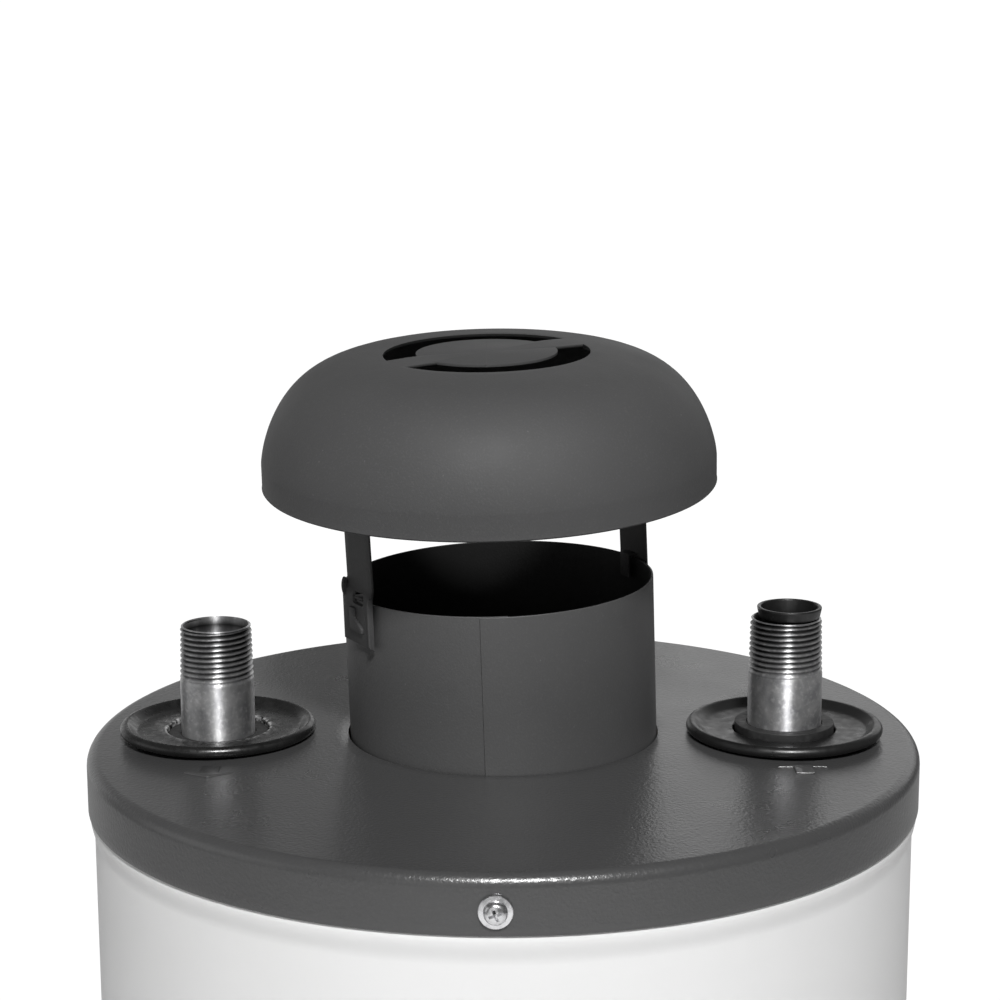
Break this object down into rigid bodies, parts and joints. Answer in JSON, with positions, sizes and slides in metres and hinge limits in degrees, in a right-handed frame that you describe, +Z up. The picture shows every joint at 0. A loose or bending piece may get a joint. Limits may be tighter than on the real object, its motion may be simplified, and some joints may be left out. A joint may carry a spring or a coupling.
{
  "type": "tank water heater",
  "caption": "Upright gas storage water heater: white jacket, grey top cover, slotted draught hood on a flue collar, threaded hot and cold pipes.",
  "frame": {"origin": "on the floor, on the jacket's vertical axis", "axes": "+Z up along the jacket; -Y is the front, with the gas control; +X is the cold-pipe side"},
  "size_m": [0.42, 0.3867, 0.903],
  "materials": {
    "grey_paint": "satin",
    "white_paint": "satin",
    "galvanised_steel": "satin",
    "bare_steel": "satin",
    "cast_iron": "matte",
    "zinc_plate": "gloss",
    "brass": "satin",
    "copper": "satin",
    "aluminium": "satin",
    "magnesium": "matte",
    "black_plastic": "satin",
    "red_plastic": "gloss",
    "rubber": "matte",
    "foam": "matte"
  },
  "bodies": {
    "heater": {"base_pan": "grey_paint", "foot_left": "black_plastic", "foot_right": "black_plastic", "foot_back": "black_plastic", "combustion_skirt": "bare_steel", "jacket": "white_paint", "top_cover": "grey_paint", "cover_screw_front": "zinc_plate", "cover_screw_left": "zinc_plate", "cover_screw_right": "zinc_plate", "insulation_side": "foam", "insulation_top": "foam", "tank_shell": "bare_steel", "tank_top_head": "bare_steel", "tank_bottom_head": "bare_steel", "flue_tube": "bare_steel", "flue_baffle": "bare_steel", "collar_base_ring": "galvanised_steel", "flue_collar": "grey_paint", "spud_hot": "bare_steel", "spud_cold": "bare_steel", "spud_control": "bare_steel", "spud_drain": "bare_steel", "spud_relief": "bare_steel", "nipple_hot": "galvanised_steel", "nipple_cold": "galvanised_steel", "dip_tube": "black_plastic", "anode_rod": "magnesium", "grommet_hot": "black_plastic", "grommet_cold": "black_plastic", "seal_ring_hot": "rubber", "seal_ring_cold": "rubber", "burner_head": "cast_iron", "burner_venturi": "cast_iron", "burner_bracket": "galvanised_steel", "burner_orifice": "brass", "burner_tube": "aluminium", "pilot_burner": "brass", "pilot_tube": "aluminium", "thermocouple": "copper", "gas_valve_body": "aluminium", "thermostat_probe": "copper", "igniter_body": "black_plastic", "drain_valve_body": "brass", "relief_valve_body": "brass", "relief_lever_pin": "bare_steel"},
    "hood": {"hood_dome": "grey_paint", "hood_leg_left": "grey_paint", "hood_leg_right": "grey_paint"},
    "door_outer": {"outer_door": "grey_paint"},
    "door_inner": {"inner_door": "galvanised_steel"},
    "dial": {"temperature_dial": "black_plastic"},
    "gas_cock": {"gas_cock_knob": "black_plastic"},
    "pilot_push": {"pilot_button": "red_plastic"},
    "igniter_push": {"igniter_button": "red_plastic"},
    "drain_plug": {"drain_washer": "rubber"},
    "drain_spindle": {"drain_stem": "brass", "drain_handle": "red_plastic"},
    "relief_arm": {"relief_lever": "zinc_plate"},
    "relief_disc": {"relief_stem": "brass"}
  },
  "joints": [
    {"name": "hood_lift", "type": "slide", "parent": "heater", "child": "hood", "axis": [-0.0305, 0, 0.9995], "range_m": [0, 0.1]},
    {"name": "outer_door_pull", "type": "slide", "parent": "heater", "child": "door_outer", "axis": [0, -1, 0], "range_m": [0, 0.12]},
    {"name": "inner_door_slide", "type": "hinge", "parent": "heater", "child": "door_inner", "pos_m": [0, 0, 0.133], "axis": [0, 0, 1], "range_deg": [0, 50]},
    {"name": "temperature_dial_turn", "type": "hinge", "parent": "heater", "child": "dial", "pos_m": [0, -0.218, 0.268], "axis": [0, -1, 0], "range_deg": [0, 270]},
    {"name": "gas_cock_turn", "type": "hinge", "parent": "heater", "child": "gas_cock", "pos_m": [-0.014, -0.19, 0.33], "axis": [0, 0, 1], "range_deg": [0, 180]},
    {"name": "pilot_button_press", "type": "slide", "parent": "heater", "child": "pilot_push", "axis": [0, 0, -1], "range_m": [0, 0.006], "stiffness_N_per_m": 400, "springref_m": -0.002},
    {"name": "igniter_press", "type": "slide", "parent": "heater", "child": "igniter_push", "axis": [0, 0, -1], "range_m": [0, 0.006], "stiffness_N_per_m": 600, "springref_m": -0.002},
    {"name": "drain_travel", "type": "slide", "parent": "heater", "child": "drain_plug", "axis": [0, 0, 1], "range_m": [0, 0.003]},
    {"name": "drain_handle_turn", "type": "hinge", "parent": "drain_plug", "child": "drain_spindle", "pos_m": [-0.172, 0, 0.285], "axis": [0, 0, 1], "range_deg": [0, 720]},
    {"name": "relief_lever_flip", "type": "hinge", "parent": "heater", "child": "relief_arm", "pos_m": [0.212, 0, 0.613], "axis": [0, 1, 0], "range_deg": [0, 90], "stiffness_Nm_per_rad": 0.3, "springref_deg": -5.73},
    {"name": "relief_stem_pull", "type": "slide", "parent": "heater", "child": "relief_disc", "axis": [1, 0, 0], "range_m": [0, 0.004]}
  ],
  "couplings": [
    {"joint": "drain_travel", "follows": "drain_handle_turn", "m_per_rad": 0.00023873},
    {"joint": "relief_stem_pull", "follows": "relief_lever_flip", "m_per_rad": 0.0025465}
  ]
}
